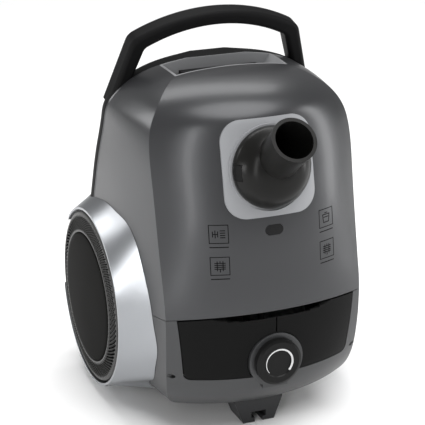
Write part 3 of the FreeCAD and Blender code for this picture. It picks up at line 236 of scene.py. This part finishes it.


# ------------------------------------------------------------ wheels and hubcaps
# Each wheel is a black moulding whose outer face carries close swirling ribs; half of each rib's
# wave gets a darker, duller copy of the black as painted shade. A smooth domed cap clips over the
# hub and hides the axle's push nut.

wheel_black = moulded("wheel_black", (0.022, 0.022, 0.021), 0.32, depth=0.01, grain=1200.0,
                      shine=0.3)
# Painted shade: a darker, duller copy of the wheel's black, laid on part of each rib so the ribs
# show the contrast that light and shade would give.
rib_painted_shade = moulded("rib_painted_shade", (0.002, 0.002, 0.002), 0.7, depth=0.01, shine=0.02)
hub_black = moulded("hub_black", (0.007, 0.0069, 0.0064), 0.55, depth=0.006, shine=0.015)


def ribbed_wheel(name, node, outward):
    """The wheel's ring: plain web and tread, and a face of swirling ribs."""
    low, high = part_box(node)
    centre = (low + high) / 2
    radius, width = (high.z - low.z) / 2, high.x - low.x
    face_x = high.x if outward > 0 else low.x
    ribs, per_rib = 92, 8
    steps = ribs * per_rib
    lean = 25.3  # how far a rib turns, in radians for each metre towards the hub
    rib_rows, rib_height, rib_span, face_slope = 10, 1.9e-3, 17.0e-3, 2.6e-3

    def rib_wave(r, k):
        """Where step k lies between a rib's crest and its groove at this radius."""
        return math.sin(ribs * (2 * math.pi * k / steps + lean * (radius - r)))

    # rows run from the hub over the face and the tread to the back: radius, depth, rib height
    rows = [(radius - 27.0e-3, 10.0e-3, 0), (radius - 26.5e-3, 8.0e-3, 0),
            (radius - 23.2e-3, 8.0e-3, 0), (radius - 22.9e-3, 0.6e-3, 0),
            (radius - 22.4e-3, 0.15e-3, 0), (radius - 21.6e-3, 0.15e-3, 0)]
    for k in range(rib_rows + 1):
        t = k / rib_rows
        lift = rib_height * min(1.0, 6 * t, 6 * (1 - t))
        rows.append((radius - 21.2e-3 + rib_span * t, 0.2e-3 + face_slope * t, lift))
    rows += [(radius - 3.8e-3, 3.0e-3, 0), (radius - 2.4e-3, 3.2e-3, 0),
             (radius - 1.0e-3, 4.2e-3, 0), (radius - 0.1e-3, 6.0e-3, 0),
             (radius - 0.1e-3, width - 3.2e-3, 0), (radius - 1.2e-3, width - 1.0e-3, 0),
             (radius - 3.2e-3, width - 0.1e-3, 0), (radius - 24.0e-3, width - 0.7e-3, 0),
             (radius - 27.0e-3, width - 3.0e-3, 0)]
    verts, faces = [], []
    for r, depth, lift in rows:
        for k in range(steps):
            turn = 2 * math.pi * k / steps
            cut = lift * (0.5 - 0.5 * max(-1.0, min(1.0, 1.8 * rib_wave(r, k))))
            verts.append((face_x - outward * (depth + cut), centre[1] + r * math.cos(turn),
                          centre[2] + r * math.sin(turn)))
    for row in range(len(rows) - 1):
        for k in range(steps):
            a, b = row * steps + k, row * steps + (k + 1) % steps
            quad = (a, b, b + steps, a + steps)
            faces.append(quad if outward < 0 else quad[::-1])
    ring = new_piece(name, verts, faces, wheel_black)
    # The second slot is the painted shade, given below to the faces where the rib wave is above
    # 0.1.
    ring.data.materials.append(rib_painted_shade)
    for face in ring.data.polygons:
        row, k = divmod(face.index, steps)
        if rows[row][2] and rows[row + 1][2]:
            middle = (rows[row][0] + rows[row + 1][0]) / 2
            face.material_index = int(rib_wave(middle, k + 0.5) > 0.1)
    return ring


for node, body, outward in (("wheel_left", "wheel_left_body", -1),
                            ("wheel_right", "wheel_right_body", 1)):
    ring = ribbed_wheel(node + "_ribbed", node, outward)
    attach(ring, body)
    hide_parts(node)


def domed_cap(name, node, outward):
    """A hubcap: a shallow smooth dome with a rolled rim and a short skirt."""
    low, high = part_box(node)
    centre = (low + high) / 2
    radius = (high.z - low.z) / 2
    face_x, width = (high.x if outward > 0 else low.x), high.x - low.x
    dome = 0.0026
    rows = [(radius * k / 20, dome * (k / 20) ** 2.3) for k in range(1, 20)]
    rows += [(radius * 0.975, 0.0027), (radius * 0.992, 0.003), (radius, 0.0038),
             (radius, width)]
    steps = 160
    verts, faces = [(face_x, centre.y, centre.z)], []
    for r, depth in rows:
        for k in range(steps):
            turn = 2 * math.pi * k / steps
            verts.append((face_x - outward * depth, centre.y + r * math.cos(turn),
                          centre.z + r * math.sin(turn)))
    for k in range(steps):
        a, b = 1 + k, 1 + (k + 1) % steps
        faces.append((0, a, b) if outward > 0 else (0, b, a))
        for row in range(len(rows) - 1):
            c = row * steps
            quad = (a + c, a + c + steps, b + c + steps, b + c)
            faces.append(quad if outward > 0 else quad[::-1])
    return new_piece(name, verts, faces, hub_black)


for node, body, outward in (("hubcap_left", "wheel_left_body", -1),
                            ("hubcap_right", "wheel_right_body", 1)):
    cap = domed_cap(node + "_domed", node, outward)
    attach(cap, body)
    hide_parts(node)


# ------------------------------------------------------------ hose elbow and release clips
# The swivel elbow is a black gloss moulding that turns in the collar behind the bezel. Two
# satin clips in its sides let it go when they are squeezed; the collar has their finish.

elbow_black = moulded("elbow_black", (0.0085, 0.0083, 0.0078), 0.28, depth=0.008, shine=0.16)
clip_black = moulded("clip_black", (0.007, 0.007, 0.007), 0.5, depth=0.04, shine=0.1)
finish_nodes(elbow_black, "hose_elbow")
finish_nodes(clip_black, "clip_left", "clip_right", "inlet_collar")


# ------------------------------------------------------------ bag-full window and flag
# A smoked oval lens snaps into the lid below the inlet. A red flag slides up behind it when
# the bag is full.

lens_black = moulded("lens_black", (0.004, 0.004, 0.0045), 0.15, depth=0.002, shine=0.25)
flag_red = moulded("flag_red", (0.42, 0.03, 0.015), 0.45)
finish_nodes(lens_black, "indicator_window")
finish_nodes(flag_red, "indicator_flag")


# ------------------------------------------------------------ pedals and power knob
# Two wide black pedals fill the front below the lid. The round knob between them sets the
# suction and carries a white printed wedge.

pedal_black = moulded("pedal_black", (0.0065, 0.0065, 0.0065), 0.36, depth=0.015, shine=0.06)
knob_black = moulded("knob_black", (0.0075, 0.0075, 0.0075), 0.3, depth=0.01, shine=0.14)
finish_nodes(pedal_black, "pedal_power", "pedal_rewind")
finish_nodes(knob_black, "power_knob")

white_ink = moulded("white_ink", (0.62, 0.62, 0.62), 0.45, depth=0.02)
knob_low, knob_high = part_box("power_knob")
knob_mid = (knob_low + knob_high) / 2
wedge_radius, wedge_start, wedge_sweep, wedge_film = 0.0147, 222, 264, 0.00008
verts, faces = [], []
steps = 72
for k in range(steps + 1):
    t = k / steps
    turn = math.radians(wedge_start - wedge_sweep * t)
    half = 0.00022 + 0.00105 * t ** 0.8
    for r in (wedge_radius - half, wedge_radius + half):
        verts.append((knob_mid.x + r * math.cos(turn), knob_low.y - wedge_film,
                      knob_mid.z + r * math.sin(turn)))
for k in range(steps):
    a = 2 * k
    faces.append((a, a + 2, a + 3, a + 1))
wedge = new_piece("knob_wedge", verts, faces, white_ink, smooth=False)
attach(wedge, "knob_body")


# ------------------------------------------------------------ motor and fan
# A drawn steel can holds the stack, the wound armature and two spring-pressed carbon brushes.
# The shaft turns a cast aluminium impeller under a moulded cover, all hung in two rubber rings.

steel = moulded("zinc_steel", (0.52, 0.52, 0.5), 0.32, metallic=1.0, depth=0.03)
cast = moulded("cast_aluminium", (0.6, 0.6, 0.6), 0.42, metallic=1.0, depth=0.1, grain=500.0)
copper = moulded("copper_wire", (0.62, 0.27, 0.1), 0.35, metallic=1.0, depth=0.2, grain=2200.0)
carbon = moulded("carbon", (0.02, 0.02, 0.02), 0.6, depth=0.1)
rubber = moulded("soft_rubber", (0.018, 0.018, 0.018), 0.75, depth=0.12)
inner_grey = moulded("inner_grey", (0.22, 0.225, 0.23), 0.5, depth=0.08)
finish_nodes(steel, "motor_can", "stator_core", "rotor_shaft")
finish_nodes(cast, "fan_impeller")
finish_nodes(copper, "armature")
finish_nodes(carbon, "carbon_brushes")
finish_nodes(rubber, "motor_seal_front", "motor_mount_rear")
finish_nodes(inner_grey, "fan_cover")


# ------------------------------------------------------------ cord reel and brake
# The reel's drum, spring housing and bracket are undyed grey polypropylene. A black lever
# presses a rubber roller on the drum's rim to hold it. The cord's way out is a black bush in
# the floor of the lower housing.

part_black = moulded("part_black", (0.018, 0.018, 0.019), 0.45, depth=0.05)
finish_nodes(inner_grey, "reel_bracket", "reel_drum", "reel_spring")
finish_nodes(part_black, "brake_lever", "cord_outlet_bush")
finish_nodes(rubber, "brake_roller")


# ------------------------------------------------------------ board and power switch
# A green lacquered board carries the speed control behind the knob. The power pedal works the
# black push switch beside it through a white plunger.

board_green = moulded("board_green", (0.01, 0.13, 0.045), 0.35, coat=0.3)
part_white = moulded("part_white", (0.72, 0.72, 0.7), 0.4)
finish_nodes(board_green, "circuit_board")
finish_nodes(part_black, "potentiometer", "power_switch")
finish_nodes(part_white, "switch_plunger")


# ------------------------------------------------------------ bag bay, filters and exhaust
# The grey deck closes off the bag bay, with a rubber seal round its mouth and a blue holder for
# the bag's card. The filters are thick off-white fleece; the last lies behind a clipped-in grille.

holder_blue = moulded("holder_blue", (0.09, 0.16, 0.28), 0.45, depth=0.05)
fleece = moulded("filter_fleece", (0.6, 0.59, 0.55), 0.9, depth=0.6, grain=700.0)
finish_nodes(inner_grey, "bag_deck")
finish_nodes(holder_blue, "bag_holder")
finish_nodes(rubber, "lid_seal")
finish_nodes(fleece, "dust_bag", "motor_filter", "exhaust_filter")
finish_nodes(part_black, "exhaust_grille")


# ------------------------------------------------------------ caster and feet
# The caster's socket and fork are black acetal with a rubber-tyred wheel. The cleaner stands
# parked on two round rubber feet.

finish_nodes(part_black, "caster_socket", "caster_fork")
finish_nodes(rubber, "caster_wheel", "rear_feet")


# ------------------------------------------------------------ axles, pins and screws
# Turned rods, wire springs and thread-forming screws, all zinc-plated steel. The axles and pins
# are pressed into their bosses.

finish_nodes(steel, "stub_axles", "caster_pin", "pedal_pivot_rod", "pedal_springs",
             "lid_hinge_pins", "latch_spring", "housing_screws")


# ------------------------------------------------------------ dust bag
# The bag is soft white fleece, welded flat along its edges and held by its card collar. Here it
# is part filled, so its faces billow and pull into creases at the corners.

low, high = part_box("dust_bag")
heart = (low + high) / 2
bag_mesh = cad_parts["dust_bag"].data
bag_form = BVHTree.FromPolygons([v.co for v in bag_mesh.vertices],
                                [tuple(p.vertices) for p in bag_mesh.polygons])
rings, around = 72, 120
fullness, crease_depth, weld_depth, weld_height, weld_width = 0.985, 0.035, 0.02, 0.1, 0.05
verts, faces = [], []
for i in range(rings + 1):
    v = -math.pi / 2 + math.pi * i / rings
    for k in range(around):
        u = 2 * math.pi * k / around
        aim = Vector((math.cos(v) * math.cos(u), math.cos(v) * math.sin(u), math.sin(v)))
        reach = bag_form.ray_cast(heart, aim)[3]
        crease = 0.5 + 0.5 * math.sin(9 * u + 2.2 * math.sin(3 * v))
        crease += 0.35 * (0.5 + 0.5 * math.sin(17 * u + 5 * v)) * abs(math.sin(2 * v))
        weld = math.exp(-((v - weld_height) / weld_width) ** 2)
        verts.append(heart + aim * reach * (fullness - crease_depth * crease * math.cos(v)
                                            - weld_depth * weld))
for i in range(rings):
    for k in range(around):
        a, b = i * around + k, i * around + (k + 1) % around
        faces.append((a, b, b + around, a + around))
bag = new_piece("dust_bag_filled", verts, faces, fleece)
soften = bag.modifiers.new("soften", "SMOOTH")
soften.factor, soften.iterations = 0.5, 8
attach(bag, "base")
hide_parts("dust_bag")


# ------------------------------------------------------------ pedal return springs
# Two torsion springs of round steel wire sit on the pivot rod. Each is wound in six turns, and
# its straight leg pushes up behind a pedal.

springs_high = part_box("pedal_springs")[1]
rod_low, rod_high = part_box("pedal_pivot_rod")
rod_mid = (rod_low + rod_high) / 2
wire, coil_radius, turns, pitch, points = 0.0007, 0.0034, 6, 0.00148, 24
for side in (-1, 1):
    coil_mid = side * (springs_high.x - 0.0045)
    path = []
    for k in range(turns * points + 1):
        a = 2 * math.pi * k / points
        path.append((coil_mid - turns * pitch / 2 + pitch * k / points,
                     rod_mid.y + coil_radius * math.cos(a),
                     rod_mid.z + coil_radius * math.sin(a)))
    path.append((path[-1][0], rod_mid.y + coil_radius, rod_mid.z + 0.004))
    path.append((path[-1][0], rod_mid.y + 0.0028, rod_mid.z + 0.0135))
    curve = bpy.data.curves.new("pedal_spring", "CURVE")
    curve.dimensions = "3D"
    curve.bevel_depth = wire
    curve.bevel_resolution = 3
    curve.use_fill_caps = True
    line = curve.splines.new("POLY")
    line.points.add(len(path) - 1)
    for point, spot in zip(line.points, path):
        point.co = (*spot, 1)
    curve.materials.append(steel)
    coil = bpy.data.objects.new("pedal_spring_" + ("left", "right")[side > 0], curve)
    bpy.context.scene.collection.objects.link(coil)
    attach(coil, "base")
    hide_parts("pedal_springs")


# ------------------------------------------------------------ studio
# The cleaner stands on a matt white floor under a pale ceiling, with soft boxes at its front
# left, left side, right side and top. A long lens looks from the front left, a little above.

target = Vector((-0.0121, 0.027, 0.2064))
turn, rise, distance = math.radians(-22.4), math.radians(20.5), 1.628
back = Vector((math.sin(turn) * math.cos(rise), -math.cos(turn) * math.cos(rise),
               math.sin(rise)))
camera_data = bpy.data.cameras.new("camera")
camera_data.lens = 127.06
camera_data.sensor_width = 36.0
camera = bpy.data.objects.new("camera", camera_data)
bpy.context.scene.collection.objects.link(camera)
camera.location = target + back * distance
camera.rotation_euler = back.to_track_quat("Z", "Y").to_euler()
bpy.context.scene.camera = camera

floor_paint = moulded("floor_paint", (0.93, 0.93, 0.93), 0.9, depth=0.0, patch=0.01)
floor_half = 15.0
floor = new_piece("floor", [(-floor_half, -floor_half, 0), (floor_half, -floor_half, 0),
                            (floor_half, floor_half, 0), (-floor_half, floor_half, 0)],
                  [(0, 1, 2, 3)], floor_paint, smooth=False)
floor.location.z = -0.0002


def soft_box(name, place, size, power, aim):
    """A rectangular studio light turned to its aim."""
    light = bpy.data.lights.new(name, "AREA")
    light.shape = "RECTANGLE"
    light.size, light.size_y = size
    light.energy = power
    lamp = bpy.data.objects.new(name, light)
    bpy.context.scene.collection.objects.link(lamp)
    lamp.location = place
    lamp.rotation_euler = (Vector(place) - Vector(aim)).to_track_quat("Z", "Y").to_euler()


middle = (0, 0, 0.2)
soft_box("front_left", (-1.15, -1.6, 0.75), (0.22, 1.4), 9, middle)
soft_box("left_front", (-1.4, -0.15, 0.36), (0.3, 0.28), 3.6, (-0.12, 0.0, 0.13))
soft_box("left_back", (-1.0, 0.76, 0.8), (0.5, 0.5), 4.5, (-0.12, 0.05, 0.2))
soft_box("right", (1.6, -0.5, 0.6), (0.3, 1.5), 11, middle)
soft_box("top", (0.1, 0.7, 1.4), (1.3, 0.35), 7, (0, 0, 0.35))
sky = bpy.data.lights.new("ceiling", "SUN")
sky.energy = 2.6
sky.angle = math.radians(50)
ceiling = bpy.data.objects.new("ceiling", sky)
bpy.context.scene.collection.objects.link(ceiling)
ceiling.rotation_euler = (math.radians(16), math.radians(8), 0)
world = bpy.data.worlds.new("studio")
world.use_nodes = True
world.node_tree.nodes["Background"].inputs["Color"].default_value = (1.0, 1.0, 1.0, 1.0)
world.node_tree.nodes["Background"].inputs["Strength"].default_value = 0.24
bpy.context.scene.world = world
bpy.context.scene.view_settings.view_transform = "Standard"
